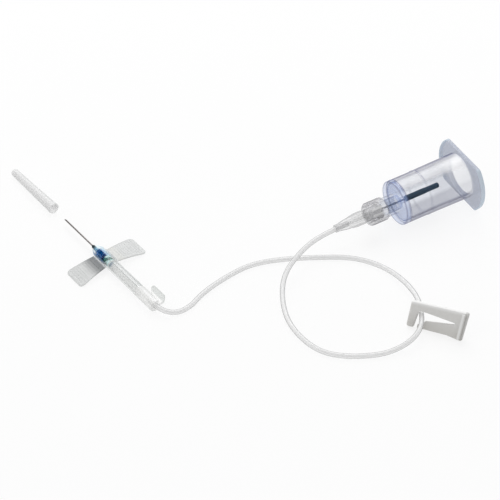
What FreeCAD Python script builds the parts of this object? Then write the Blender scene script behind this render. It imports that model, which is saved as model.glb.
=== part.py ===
import FreeCAD, Part
import math
import os
import re

import Sketcher

# Winged infusion set for taking blood: a capped steel needle on a blue hub, a
# sliding clear shield with soft wings, a thin tube with a slide clamp, and a
# luer connection into a clear holder for evacuated sample tubes.
# It lies on a table. +X runs along the tube holder towards its mouth, +Z is up,
# and the origin is under the middle of the parts that the tube joins.

# Driving sizes in millimetres and degrees: name, value, what it is.
SIZES = [
    ("needle_x", -67.21, "place of the needle's root on the table"),
    ("needle_y", 0.38, "place of the needle's root on the table"),
    ("needle_heading", -81.3, "way the needle's rear end points, seen from above"),
    ("axis_height", 2.48, "height of the needle's axis over the table"),
    ("needle_radius", 0.32, "23 gauge needle"),
    ("needle_bore", 0.18, "radius of the needle's lumen"),
    ("needle_length", 21.25, "needle that stands out of the hub"),
    ("root_stop", 0.2, "needle's rear end short of the hub's rear face"),
    ("needle_bevel", 2.0, "length of the ground bevel"),
    ("needle_fit", 0.02, "gap round each glued needle"),
    ("bead_length", 0.7, "bead of glue at the hub's nose"),
    ("bead_step", 0.12, "bead of glue smaller than the nose it sits on"),
    ("bead_swell", 0.35, "share of the bead's length at which it is nearly full"),
    ("nose_wall", 0.4, "hub's nose round the needle"),
    ("nose_reach", 0.4, "how far the nose stands out of the shield"),
    ("nose_length", 2.2, "how far back the nose runs inside the shield"),
    ("hub_gap", 0.23, "gap between the hub's body and the shield"),
    ("hub_shoulder", 4.8, "place of the end of the hub's cone"),
    ("hub_rear", 8.8, "place of the hub's rear face"),
    ("catch_gap", 0.07, "running gap of the hub's ring that clicks into the shield"),
    ("catch_width", 0.7, "width of that ring"),
    ("spigot_wall", 0.6, "hub's spigot inside the rear barrel"),
    ("spigot_length", 2.5, "hub's spigot inside the rear barrel"),
    ("lumen_radius", 0.6, "blood path through the hub and the barrel"),
    ("shield_radius", 2.45, "outside of the shield"),
    ("shield_wall", 0.42, "wall of the shield"),
    ("shield_length", 31.2, "shield from its nose to its rear end"),
    ("nose_rim", 0.25, "blunt rim round the hole in the shield's nose"),
    ("shield_nose_length", 3.4, "cone of the shield's nose"),
    ("nose_step", 0.9, "shield's bore is full this far behind the nose's cone"),
    ("nose_gap", 0.16, "gap round the hub's nose in that hole"),
    ("shield_nose_wall", 1.9, "depth of that hole"),
    ("shield_travel", 24.0, "how far the shield slides over the needle"),
    ("groove_depth", 0.12, "groove inside the shield for the hub's ring"),
    ("slide_gap", 0.06, "running gap of the hub's ring in its groove"),
    ("barrel_gap", 0.3, "gap between shield and rear grip at rest"),
    ("stem_gap", 0.25, "gap between the rear barrel's stem and the shield"),
    ("grip_length", 11.0, "grip behind the shield"),
    ("grip_edge", 0.25, "small chamfers on the grip"),
    ("slant_length", 6.9, "slanted side of the grip"),
    ("slant_wall", 0.45, "wall left over the tube at the slant's end"),
    ("tab_thickness", 1.1, "thumb tab"),
    ("tab_length", 9.5, "thumb tab, ending at the grip's rear face"),
    ("tab_reach", 6.1, "how far the thumb tab stands out from the axis"),
    ("tab_tip_width", 1.3, "width of the tab's free front end"),
    ("tab_corner", 2.1, "cut corner of the tab"),
    ("tab_root_length", 4.1, "tab's root beside the slanted side"),
    ("tab_lean", 0.2, "slope of the tab's free front end"),
    ("tab_notch", 1.6, "notch between the tab's tip and its arm"),
    ("tab_notch_depth", 2.5, "depth of that notch"),
    ("tab_arm_start", 1.5, "where the tab's arm leaves the slanted side"),
    ("tab_arm_sink", 0.1, "how deep the arm's front starts in the grip"),
    ("tab_round", 0.45, "rounded corners of the tab"),
    ("wing_span", 16.1, "wing tip from the needle's axis"),
    ("wing_root_front", 4.6, "front of the wing's root"),
    ("wing_root_chord", 7.6, "wing's root along the needle"),
    ("wing_tip_front", 3.3, "front of the wing's tip"),
    ("wing_tip_chord", 11.2, "wing's tip along the needle"),
    ("wing_thickness", 0.75, "soft sheet of the wing"),
    ("wing_corner", 2.0, "round corners of the wing's tip"),
    ("wing_margin", 2.0, "room round the wings' plan while they are cut out"),
    ("wing_crown", 0.35, "height of the wings' top at the axis"),
    ("wing_floor_gap", 0.03, "wing tip over the table"),
    ("saddle_wall", 0.4, "saddle that holds the wings on the shield"),
    ("saddle_drop", 1.2, "how far the saddle reaches below the axis"),
    ("bond_gap", 0.02, "glue line between saddle and shield"),
    ("cap_length", 30.35, "needle cap"),
    ("cap_distance", 29.2, "cap's mouth from the needle's root"),
    ("cap_inset", 0.07, "flared rim of the cap smaller than the shield"),
    ("cap_rim_step", 0.15, "cap behind its rim smaller than the rim"),
    ("cap_rim_length", 0.9, "flared rim of the cap"),
    ("cap_rim_slope", 0.5, "slope behind the cap's rim"),
    ("cap_end_radius", 1.6, "closed end of the cap"),
    ("cap_wall", 0.29, "wall of the cap at its mouth"),
    ("cap_end_wall", 0.33, "wall of the cap at its closed end"),
    ("cap_floor", 1.4, "thickness of the closed end"),
    ("cap_round", 0.7, "rounding of the closed end"),
    ("tube_radius", 1.0, "outside of the tubing"),
    ("tube_fit", 0.03, "gap round the tubing in its sockets"),
    ("tube_in_grip_depth", 4.1, "tubing held inside the grip"),
    ("holder_x", 48.2, "place of the holder's closed front face"),
    ("holder_y", -43.5, "place of the holder's axis"),
    ("barrel_radius", 9.6, "outside of the tube holder"),
    ("barrel_draft", 0.35, "barrel wider at its flange than at its front"),
    ("barrel_wall", 1.0, "wall of the holder's inner part"),
    ("barrel_length", 32.0, "front face to the flange"),
    ("barrel_round", 0.4, "rounded front edge of the holder"),
    ("front_wall", 1.6, "closed front of the holder"),
    ("mouth_wall", 0.8, "wall of the holder near its mouth"),
    ("mouth_depth", 11.4, "length of the wider bore at the mouth"),
    ("mark_place", 12.0, "raised ring that marks how far to push a tube"),
    ("mark_height", 0.14, "raised ring"),
    ("mark_width", 0.8, "raised ring"),
    ("flange_reach", 6.26, "finger flange beyond the barrel"),
    ("flange_rise", 1.45, "flange's flat sides beyond the barrel"),
    ("flange_thickness", 1.6, "finger flange"),
    ("flange_corner", 1.6, "rounded corners of the flange"),
    ("neck_wall", 1.17, "threaded neck of the holder"),
    ("neck_length", 5.0, "threaded neck of the holder"),
    ("thread_radius", 3.0, "threaded stem of the adapter"),
    ("thread_fit", 0.03, "gap round the threaded stem"),
    ("collar_wall", 0.95, "wall of the adapter's lock collar, between its ribs"),
    ("collar_length", 8.6, "lock collar of the adapter"),
    ("collar_bore", 3.6, "inside of the lock collar"),
    ("collar_web", 2.2, "closed rear of the lock collar"),
    ("collar_edge", 0.35, "chamfer of the lock collar"),
    ("rib_height", 0.4, "grip ribs on the lock collar"),
    ("rib_width", 1.0, "grip ribs on the lock collar"),
    ("rib_margin", 0.6, "collar left bare at each end of its ribs"),
    ("cone_base_radius", 2.12, "male luer cone at its root"),
    ("cone_taper", 0.03, "slope of the luer cones, a taper of 6 percent"),
    ("cone_length", 7.0, "male luer cone"),
    ("cone_bore", 0.9, "blood path in the male cone"),
    ("cone_fit", 0.02, "gap between the luer cones"),
    ("stem_proud", 0.3, "threaded stem inside the holder's front wall"),
    ("boss_step", 0.63, "boss that carries the rubber sleeve, beyond its nipple"),
    ("boss_length", 3.25, "that boss"),
    ("nipple_wall", 0.34, "nipple inside the rubber sleeve"),
    ("nipple_length", 2.2, "nipple inside the rubber sleeve"),
    ("back_needle_radius", 0.36, "needle inside the holder"),
    ("back_needle_bore", 0.2, "its lumen"),
    ("back_needle_depth", 1.4, "how far its front end lies inside the collar"),
    ("back_needle_end", 19.8, "place of its point"),
    ("back_needle_bevel", 1.6, "length of its bevel"),
    ("sleeve_wall", 0.48, "rubber sleeve over the nipple"),
    ("sleeve_taper", 0.1, "sleeve thinner near its tip"),
    ("sleeve_room", 0.45, "room between the needle's point and the sleeve's tip"),
    ("sleeve_step", 14.5, "place where the sleeve gets thinner"),
    ("sleeve_slope", 0.4, "length of that step"),
    ("sleeve_gap", 0.09, "gap round the needle in the sleeve"),
    ("sleeve_tip_wall", 0.9, "closed tip of the sleeve"),
    ("sleeve_round", 0.5, "rounded tip of the sleeve"),
    ("luer_length", 20.8, "connector from its mouth to its thin end"),
    ("luer_rim_step", 0.12, "rim round the tubing, beyond the thin end"),
    ("luer_rim_length", 0.8, "rim round the tubing"),
    ("luer_neck_wall", 0.47, "thin end of the connector round the tubing"),
    ("luer_neck_length", 4.4, "thin end of the connector"),
    ("luer_waist_step", 0.45, "where the taper steepens, inside the body's radius"),
    ("luer_taper_length", 5.0, "steep part of the taper"),
    ("luer_wall", 0.46, "wall of the connector's body"),
    ("luer_mouth_gap", 0.4, "connector's mouth short of the collar's closed rear"),
    ("lug_gap", 0.1, "gap round the locking lugs in the collar"),
    ("lug_width", 1.0, "locking lugs at the mouth"),
    ("fin_height", 0.35, "grip fins on the connector"),
    ("fin_width", 0.6, "grip fins on the connector"),
    ("fin_inset", 2.5, "grip fins behind the thin end"),
    ("fin_distance", 7.4, "grip fins in front of the mouth"),
    ("tube_in_luer", 6.0, "tubing held inside the connector"),
    ("clamp_x", 20.26, "clamp's lower left corner on the table"),
    ("clamp_y", -96.41, "clamp's lower left corner on the table"),
    ("clamp_heading", -52.4, "way the clamp's long side points"),
    ("clamp_lean", 35.0, "how far the clamp leans back from upright"),
    ("clamp_thickness", 2.0, "plate of the clamp"),
    ("clamp_length", 22.6, "plate of the clamp"),
    ("clamp_height_left", 10.2, "plate at its open end"),
    ("clamp_height_right", 11.6, "plate at its closed end"),
    ("leg_width", 2.8, "leg beside the tubing"),
    ("leg_lean", 0.6, "leg wider towards its top"),
    ("gap_width", 4.4, "gap that the tubing enters by"),
    ("foot_step", 0.4, "slope of the plate beside the gap"),
    ("toe_gap", 1.5, "gap between the leg and the toe of the lower bar"),
    ("toe_height", 1.7, "toe of the lower bar, under the tubing"),
    ("slot_top", 7.0, "top of the wide opening"),
    ("slot_mouth_low", 3.6, "lower edge of the slot's wide end"),
    ("slot_narrow", 0.7, "slot at its narrow end"),
    ("closed_end", 4.4, "plate past the slot's narrow end"),
    ("side_lean", 0.2, "slope of the plate's two ends"),
    ("slot_end_height", 5.9, "middle of the slot's narrow end"),
    ("clamp_edge", 0.45, "chamfer on the clamp's upper edge"),
    ("end_rib_width", 1.7, "stiff rib across the closed end"),
    ("end_rib_height", 0.6, "stiff rib across the closed end"),
    ("clamp_round", 0.8, "rounded corners of the clamp"),
    ("foot_arch", 0.8, "lower edge raised between the clamp's feet"),
]

# The tubing's route in millimetres, from inside the rear grip, along the table,
# through the clamp, round the loop and over itself up into the luer connector.
TUBE_ROUTE = [
    (-61.40, -37.58, 2.48),
    (-60.36, -44.40, 2.48),
    (-54.5, -47.9, 1.02),
    (-48.0, -46.9, 1.02),
    (-44.5, -44.9, 1.02),
    (-39.0, -42.4, 1.02),
    (-30.0, -39.9, 1.02),
    (-16.5, -37.9, 1.02),
    (-3.0, -41.9, 1.02),
    (9.5, -47.9, 1.02),
    (22.0, -54.9, 1.02),
    (30.0, -65.9, 1.02),
    (32.0, -79.4, 2.2),
    (29.7, -92.0, 3.6),
    (21.0, -105.9, 4.6),
    (7.5, -106.9, 1.02),
    (-7.0, -101.4, 1.02),
    (-17.0, -92.9, 1.02),
    (-20.0, -78.4, 1.02),
    (-17.5, -65.4, 1.6),
    (-9.5, -51.9, 3.8),
    (4.0, -45.4, 6.8),
    (15.03, -43.5, 8.086),
    (25.82, -43.5, 8.575),
]
BEND_SHARE = 0.45
COLLAR_RIBS = 12
LUER_FINS = 6

# Sizes that follow from the ones above, so that what fits together stays together.
FOLLOWING = {
    "needle_root": "hub_rear - root_stop",
    "nose_radius": "needle_radius + needle_fit + nose_wall",
    "bead_radius": "nose_radius - bead_step",
    "shield_bore": "shield_radius - shield_wall",
    "shield_hole": "nose_radius + nose_gap",
    "shield_nose_radius": "shield_hole + nose_rim",
    "hub_radius": "shield_bore - hub_gap",
    "catch_radius": "shield_bore - catch_gap",
    "stem_radius": "shield_bore - stem_gap",
    "spigot_radius": "lumen_radius + spigot_wall",
    "grip_radius": "shield_radius",
    "grip_start": "shield_length + barrel_gap",
    "grip_end": "grip_start + grip_length",
    "slant_start": "grip_end - slant_length",
    "tab_front": "grip_end - tab_length",
    "tube_in_grip": "grip_end - tube_in_grip_depth",
    "tube_socket": "tube_radius + tube_fit",
    "cap_rim_radius": "shield_radius - cap_inset",
    "cap_mouth_radius": "cap_rim_radius - cap_rim_step",
    "cap_bore_mouth": "cap_mouth_radius - cap_wall",
    "cap_bore_end": "cap_end_radius - cap_end_wall",
    "barrel_bore": "barrel_radius - barrel_wall",
    "mouth_radius": "barrel_radius - mouth_wall",
    "flange_radius": "barrel_radius + flange_reach",
    "flange_half_width": "barrel_radius + flange_rise",
    "flange_back": "barrel_length + flange_thickness",
    "thread_hole": "thread_radius + thread_fit",
    "neck_radius": "thread_hole + neck_wall",
    "collar_radius": "collar_bore + collar_wall",
    "collar_front": "-neck_length - collar_length",
    "collar_back": "-neck_length - collar_web",
    "cone_tip": "collar_back - cone_length",
    "cone_tip_radius": "cone_base_radius - cone_length * cone_taper",
    "stem_end": "front_wall + stem_proud",
    "boss_end": "stem_end + boss_length",
    "nipple_end": "boss_end + nipple_length",
    "back_needle_hole": "back_needle_radius + needle_fit",
    "nipple_radius": "back_needle_hole + nipple_wall",
    "boss_radius": "nipple_radius + boss_step",
    "back_needle_start": "-neck_length - back_needle_depth",
    "sleeve_radius": "nipple_radius + needle_fit + sleeve_wall",
    "sleeve_tip_radius": "sleeve_radius - sleeve_taper",
    "sleeve_bore": "back_needle_radius + sleeve_gap",
    "sleeve_blind": "back_needle_end + sleeve_room",
    "sleeve_end": "sleeve_blind + sleeve_tip_wall",
    "luer_mouth": "collar_back - luer_mouth_gap",
    "luer_tip": "luer_mouth - luer_length",
    "luer_waist": "luer_tip + luer_neck_length",
    "luer_body_start": "luer_waist + luer_taper_length",
    "luer_neck_radius": "tube_socket + luer_neck_wall",
    "luer_rim_radius": "luer_neck_radius + luer_rim_step",
    "luer_radius": "cone_base_radius + cone_fit + luer_wall",
    "luer_waist_radius": "luer_radius - luer_waist_step",
    "lug_radius": "collar_bore - lug_gap",
    "fin_start": "luer_waist + fin_inset",
    "fin_end": "luer_mouth - fin_distance",
    "slot_end": "clamp_length - closed_end",
}

NAMES = {alias for alias, value, note in SIZES}
doc = FreeCAD.newDocument("infusion_set")


def make_sheet():
    sheet = doc.addObject("Spreadsheet::Sheet", "Sizes")
    for row, (alias, value, note) in enumerate(SIZES, start=1):
        sheet.set("A%d" % row, note)
        sheet.set("B%d" % row, str(value))
        sheet.setAlias("B%d" % row, alias)
    doc.recompute()
    return sheet


def bound(formula):
    """A formula in plain size names, with each name tied to its cell in the sheet."""
    def tied(word):
        if word[0] in FOLLOWING:
            return "(" + bound(FOLLOWING[word[0]]) + ")"
        return "Sizes." + word[0] if word[0] in NAMES else word[0]
    return re.sub(r"[a-z][a-z_]*", tied, formula)


def number(formula):
    return float(sheet.evalExpression(bound(formula)))


def size(alias):
    return float(sheet.get(alias))


# Sketches, pads and turned forms

def new_body(name):
    body = doc.addObject("PartDesign::Body", name)
    body.Label = name
    return body


def plane(body, role):
    for feature in body.Origin.OriginFeatures:
        if feature.Role == role:
            return feature
    raise ValueError(role)


def tie(sketch, constraint, formula):
    """Adds a dimension to a sketch and binds it to a formula."""
    index = sketch.addConstraint(constraint)
    sketch.setExpression("Constraints[%d]" % index, bound(formula))


def new_sketch(body, name, role):
    sketch = body.newObject("Sketcher::SketchObject", name)
    sketch.AttachmentSupport = [(plane(body, role), "")]
    sketch.MapMode = "FlatFace"
    return sketch


def outline(sketch, corners):
    """Closed outline through corners, each given by two formulas."""
    points = [FreeCAD.Vector(number(across), number(up), 0) for across, up in corners]
    first = sketch.GeometryCount
    count = len(points)
    for index in range(count):
        sketch.addGeometry(Part.LineSegment(points[index], points[(index + 1) % count]))
    for index, (across, up) in enumerate(corners):
        line = first + index
        following = first + (index + 1) % count
        sketch.addConstraint(Sketcher.Constraint("Coincident", line, 2, following, 1))
        if across == "0":
            sketch.addConstraint(Sketcher.Constraint("PointOnObject", line, 1, -2))
        else:
            tie(sketch, Sketcher.Constraint("DistanceX", -1, 1, line, 1, points[index].x), across)
        if up == "0":
            sketch.addConstraint(Sketcher.Constraint("PointOnObject", line, 1, -1))
        else:
            tie(sketch, Sketcher.Constraint("DistanceY", -1, 1, line, 1, points[index].y), up)
    return sketch


def turned(body, name, corners):
    """Solid of revolution about the body's X axis, from places and radii."""
    sketch = outline(new_sketch(body, name + "_profile", "XZ_Plane"), corners)
    turn = body.newObject("PartDesign::Revolution", name)
    turn.Profile = sketch
    turn.ReferenceAxis = (sketch, ["H_Axis"])
    turn.Angle = 360
    sketch.Visibility = False
    doc.recompute()
    return turn


def padded(body, name, role, corners, length):
    """Plate of a closed outline, half its length on each side of the plane."""
    sketch = outline(new_sketch(body, name + "_outline", role), corners)
    pad = body.newObject("PartDesign::Pad", name)
    pad.Profile = sketch
    pad.Midplane = True
    pad.setExpression("Length", bound(length))
    doc.recompute()
    return pad


def cut_through(body, name, role, corners):
    """Cuts a closed outline right through the body, both ways."""
    before = body.Tip.Shape.Volume
    sketch = outline(new_sketch(body, name + "_outline", role), corners)
    pocket = body.newObject("PartDesign::Pocket", name)
    pocket.Profile = sketch
    pocket.Type = "ThroughAll"
    pocket.Midplane = True
    doc.recompute()
    if pocket.Shape.Volume >= before:
        raise RuntimeError(name + " cuts nothing")
    return pocket


def around_axis(body, name, feature, copies):
    """Copies a feature evenly round the body's X axis."""
    pattern = body.newObject("PartDesign::PolarPattern", name)
    pattern.Originals = [feature]
    pattern.Axis = (plane(body, "X_Axis"), [""])
    pattern.Angle = 360
    pattern.Occurrences = copies
    body.Tip = pattern
    doc.recompute()
    return pattern


def soften(body, name, feature, wanted, radius, kind="Fillet"):
    """Rounds or chamfers the edges of a feature that a test picks out."""
    edges = ["Edge%d" % (index + 1) for index, edge in enumerate(feature.Shape.Edges) if wanted(edge)]
    if not edges:
        raise RuntimeError(name + " found no edge")
    round_off = body.newObject("PartDesign::" + kind, name)
    round_off.Base = (feature, edges)
    round_off.setExpression("Radius" if kind == "Fillet" else "Size", bound(radius))
    doc.recompute()
    return round_off


def near(value, target):
    return abs(value - target) < 0.01


def ring_at(place, radius):
    """Test for the round edge of a turned form at one place and radius."""
    def wanted(edge):
        curve = edge.Curve
        if not isinstance(curve, Part.Circle):
            return False
        return near(curve.Center.x, number(place)) and near(curve.Radius, number(radius))
    return wanted


def seat(obj, x, y, z, yaw, pitch="0", roll="0"):
    """Ties a piece's place and turn to formulas."""
    vector = "create(<<vector>>; %s; %s; %s)" % (x, y, z)
    turn = "create(<<rotation>>; %s; %s; %s)" % (yaw, pitch, roll)
    obj.setExpression("Placement", bound("create(<<placement>>; %s; %s)" % (vector, turn)))
    doc.recompute()


def seat_on_needle_line(obj):
    seat(obj, "needle_x", "needle_y", "axis_height", "needle_heading")


HOLDER_TILT = "asin((flange_half_width - barrel_radius) / barrel_length)"


def seat_in_holder_line(obj):
    """The holder lies on its flange's flat side and on its own front edge."""
    seat(obj, "holder_x", "holder_y", "barrel_radius * cos(%s)" % HOLDER_TILT, "0", "-%s" % HOLDER_TILT)


# Needle, hub and rear barrel. Their X axis runs back from the needle's root.

def hollow_needle(name, start, end, radius, bore, bevel_corners):
    body = new_body(name)
    turned(body, name + "_tube", [(start, bore), (end, bore), (end, radius), (start, radius)])
    cut_through(body, name + "_bevel", "XZ_Plane", bevel_corners)
    return body


def needle_cannula():
    tip = "-needle_length"
    body = hollow_needle(
        "needle_cannula", tip, "needle_root", "needle_radius", "needle_bore",
        [(tip, "-needle_radius"), (tip + " + needle_bevel", "needle_radius"),
         (tip + " + needle_bevel", "needle_radius * 2"), (tip + " - needle_radius", "needle_radius * 2"),
         (tip + " - needle_radius", "-needle_radius")])
    seat_on_needle_line(body)
    return body


def hub_glue_bead():
    body = new_body("hub_glue_bead")
    inner = "needle_radius + needle_fit"
    turned(body, "bead", [
        ("-nose_reach - bead_length", inner), ("-nose_reach", inner), ("-nose_reach", "bead_radius"),
        ("-nose_reach - bead_length * bead_swell", "bead_radius * 0.85"),
        ("-nose_reach - bead_length", inner + " + needle_fit")])
    seat_on_needle_line(body)
    return body


def needle_hub():
    body = new_body("needle_hub")
    catch = "hub_shoulder + catch_width * 0.5"
    turned(body, "hub_form", [
        ("-nose_reach", "needle_radius + needle_fit"), ("-nose_reach", "nose_radius"),
        ("nose_length", "nose_radius"), ("hub_shoulder", "hub_radius"), (catch, "catch_radius"),
        (catch + " + catch_width * 0.6", "catch_radius"), (catch + " + catch_width", "hub_radius"),
        ("hub_rear", "hub_radius"), ("hub_rear", "spigot_radius"),
        ("hub_rear + spigot_length", "spigot_radius"), ("hub_rear + spigot_length", "lumen_radius"),
        ("needle_root", "lumen_radius"), ("needle_root", "needle_radius + needle_fit")])
    seat_on_needle_line(body)
    return body


def rear_barrel():
    """Stem inside the shield, grip behind it and the thumb tab beside it."""
    body = new_body("rear_barrel")
    turned(body, "barrel_form", [
        ("hub_rear", "spigot_radius + bond_gap"), ("hub_rear", "stem_radius"),
        ("grip_start", "stem_radius"), ("grip_start", "grip_radius - grip_edge"),
        ("grip_start + grip_edge", "grip_radius"),
        ("grip_end - grip_edge", "grip_radius"), ("grip_end", "grip_radius - grip_edge"),
        ("grip_end", "tube_socket"), ("tube_in_grip", "tube_socket"), ("tube_in_grip", "lumen_radius"),
        ("hub_rear + spigot_length", "lumen_radius"),
        ("hub_rear + spigot_length", "spigot_radius + bond_gap")])
    slant_end = "tube_socket + slant_wall"
    cut_through(body, "slanted_side", "XY_Plane", [
        ("slant_start", "grip_radius"), ("grip_end", slant_end), ("grip_end + grip_radius", slant_end),
        ("grip_end + grip_radius", "grip_radius * 2"), ("slant_start", "grip_radius * 2")])
    inner = "tube_socket + slant_wall * 0.3"
    tab = padded(body, "thumb_tab", "XY_Plane", [
        ("grip_end - tab_root_length", inner), ("grip_end", inner), ("grip_end", "tab_reach - tab_corner"),
        ("grip_end - tab_corner", "tab_reach"), ("tab_front + tab_lean", "tab_reach"),
        ("tab_front", "tab_reach - tab_tip_width"),
        ("tab_front + tab_notch", "tab_reach - tab_notch_depth"),
        ("slant_start + tab_arm_start", "grip_radius - tab_arm_sink")], "tab_thickness")
    outside = number("grip_radius + 0.5")
    corners = lambda edge: (
        isinstance(edge.Curve, Part.Line) and near(abs(edge.tangentAt(edge.FirstParameter).z), 1)
        and near(edge.Length, number("tab_thickness")) and edge.CenterOfMass.y > outside)
    soften(body, "tab_corners", tab, corners, "tab_round")
    seat_on_needle_line(body)
    return body


# Shield with its wings

def shield_barrel():
    body = new_body("shield_barrel")
    groove = "shield_travel + hub_shoulder + catch_width * 0.5"
    groove_radius = "shield_bore + groove_depth"
    turned(body, "shield_form", [
        ("0", "shield_hole"), ("0", "shield_nose_radius - grip_edge"), ("grip_edge", "shield_nose_radius"),
        ("shield_nose_length", "shield_radius"), ("shield_length - grip_edge", "shield_radius"),
        ("shield_length", "shield_radius - grip_edge * 0.5"), ("shield_length", "shield_bore"),
        (groove + " + catch_width + slide_gap * 3", "shield_bore"),
        (groove + " + catch_width + slide_gap", groove_radius), (groove + " - slide_gap", groove_radius),
        (groove + " - slide_gap * 3", "shield_bore"), ("shield_nose_length + nose_step", "shield_bore"),
        ("shield_nose_wall", "shield_hole")])
    seat_on_needle_line(body)
    return body


def part_object(kind, name, expressions):
    obj = doc.addObject(kind, name)
    for prop, formula in expressions.items():
        obj.setExpression(prop, bound(formula))
    return obj


def cylinder_along_x(name, radius, start, length, drop="0"):
    """Cylinder along X from a start place, its axis dropped below the body's axis."""
    obj = part_object("Part::Cylinder", name, {"Radius": radius, "Height": length})
    place = "create(<<vector>>; %s; 0; -(%s))" % (start, drop)
    turn = "create(<<rotation>>; 0; 90; 0)"
    obj.setExpression("Placement", bound("create(<<placement>>; %s; %s)" % (place, turn)))
    return obj


def cut(name, base, tool):
    obj = doc.addObject("Part::Cut", name)
    obj.Base = base
    obj.Tool = tool
    doc.recompute()
    return obj


def wings():
    """One soft moulding: two drooping wings and the saddle glued on the shield."""
    front, back = "wing_tip_front - wing_margin", "wing_tip_chord + wing_margin * 2"
    droop = "(wing_crown + axis_height - wing_thickness - wing_floor_gap)"
    arch_radius = "((wing_span * wing_span + %s * %s) / (2 * %s))" % (droop, droop, droop)
    sheet_top = cylinder_along_x("arch_top", arch_radius, front, back, arch_radius + " - wing_crown")
    inner_radius = arch_radius + " - wing_thickness"
    sheet_under = cylinder_along_x("arch_under", inner_radius, front, back, arch_radius + " - wing_crown")
    arch = cut("arch", sheet_top, sheet_under)
    plan = doc.addObject("Sketcher::SketchObject", "wing_plan")
    root_back = "wing_root_front + wing_root_chord"
    tip_back = "wing_tip_front + wing_tip_chord"
    outline(plan, [
        ("wing_root_front", "shield_bore"), ("wing_tip_front", "wing_span"), (tip_back, "wing_span"),
        (root_back, "shield_bore"), (root_back, "-shield_bore"), (tip_back, "-wing_span"),
        ("wing_tip_front", "-wing_span"), ("wing_root_front", "-shield_bore")])
    plan_block = doc.addObject("Part::Extrusion", "wing_plan_block")
    plan_block.Base = plan
    plan_block.Dir = FreeCAD.Vector(0, 0, 1)
    plan_block.DirMode = "Custom"
    plan_block.Solid = True
    plan_block.Symmetric = True
    plan_block.setExpression("LengthFwd", bound("axis_height * 4"))
    doc.recompute()
    rounded = doc.addObject("Part::Fillet", "wing_corners")
    rounded.Base = plan_block
    edge_list = []
    for index, edge in enumerate(plan_block.Shape.Edges):
        upright = near(abs(edge.tangentAt(edge.FirstParameter).z), 1)
        if upright and near(abs(edge.CenterOfMass.y), number("wing_span")):
            edge_list.append((index + 1, number("wing_corner"), number("wing_corner")))
    rounded.Edges = edge_list
    doc.recompute()
    sheet_form = doc.addObject("Part::Common", "wing_sheet")
    sheet_form.Base = arch
    sheet_form.Tool = rounded
    saddle = cylinder_along_x("saddle", "shield_radius + saddle_wall", "wing_root_front", "wing_root_chord")
    joined = doc.addObject("Part::Fuse", "wings_on_saddle")
    joined.Base = sheet_form
    joined.Tool = saddle
    hole = cylinder_along_x("saddle_hole", "shield_radius + bond_gap", front, back)
    bored = cut("bored_saddle", joined, hole)
    open_side = part_object("Part::Box", "open_underside", {
        "Length": back, "Width": "shield_radius * 2", "Height": "axis_height",
        "Placement.Base.x": front, "Placement.Base.y": "-shield_radius",
        "Placement.Base.z": "-saddle_drop - axis_height"})
    moulding = cut("wings", bored, open_side)
    moulding.Label = "wings"
    seat_on_needle_line(moulding)
    return moulding


def needle_cap():
    """Lies on the table on its rim and its closed end, in line with the needle."""
    body = new_body("needle_cap")
    blind = "cap_length - cap_floor"
    form = turned(body, "cap_form", [
        ("0", "cap_bore_mouth"), ("0", "cap_rim_radius"), ("cap_rim_length", "cap_rim_radius"),
        ("cap_rim_length + cap_rim_slope", "cap_mouth_radius"), ("cap_length", "cap_end_radius"),
        ("cap_length", "0"), (blind, "0"), (blind, "cap_bore_end")])
    soften(body, "closed_end", form, ring_at("cap_length", "cap_end_radius"), "cap_round")
    tilt = "atan((cap_rim_radius - cap_end_radius) / (cap_length - cap_rim_length))"
    height = "cap_rim_radius * cos(%s) + cap_rim_length * sin(%s)" % (tilt, tilt)
    seat(body, "needle_x - cap_distance * cos(needle_heading)",
         "needle_y - cap_distance * sin(needle_heading)", height, "needle_heading + 180", tilt)
    return body


# Tube holder and what is in it. Their X axis runs from the closed front to the mouth.

def tube_holder():
    body = new_body("tube_holder")
    mark = "mark_place - mark_width * 0.5"
    turned(body, "holder_form", [
        ("-neck_length", "thread_hole"), ("-neck_length", "neck_radius"),
        ("0", "neck_radius"), ("0", "barrel_radius"), (mark, "barrel_radius"),
        (mark + " + mark_width * 0.2", "barrel_radius + mark_height"),
        (mark + " + mark_width * 0.8", "barrel_radius + mark_height"),
        (mark + " + mark_width", "barrel_radius + mark_height * 0.5"),
        ("barrel_length", "barrel_radius + barrel_draft"), ("barrel_length", "flange_radius"),
        ("flange_back", "flange_radius"), ("flange_back", "mouth_radius"),
        ("flange_back - mouth_depth", "mouth_radius"), ("flange_back - mouth_depth", "barrel_bore"),
        ("front_wall", "barrel_bore"), ("front_wall", "thread_hole")])
    far = "flange_radius * 1.2"
    for side in ("", "-"):
        flats = cut_through(body, "flat_side_" + ("upper" if side == "" else "lower"), "XZ_Plane", [
            ("-neck_length", side + "flange_half_width"), ("flange_back + 1", side + "flange_half_width"),
            ("flange_back + 1", side + far), ("-neck_length", side + far)])
    corner = lambda edge: (
        isinstance(edge.Curve, Part.Line) and near(edge.Length, number("flange_thickness"))
        and near(abs(edge.CenterOfMass.z), number("flange_half_width")))
    rounded = soften(body, "flange_corners", flats, corner, "flange_corner")
    soften(body, "front_edge", rounded, ring_at("0", "barrel_radius"), "barrel_round")
    seat_in_holder_line(body)
    return body


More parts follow.
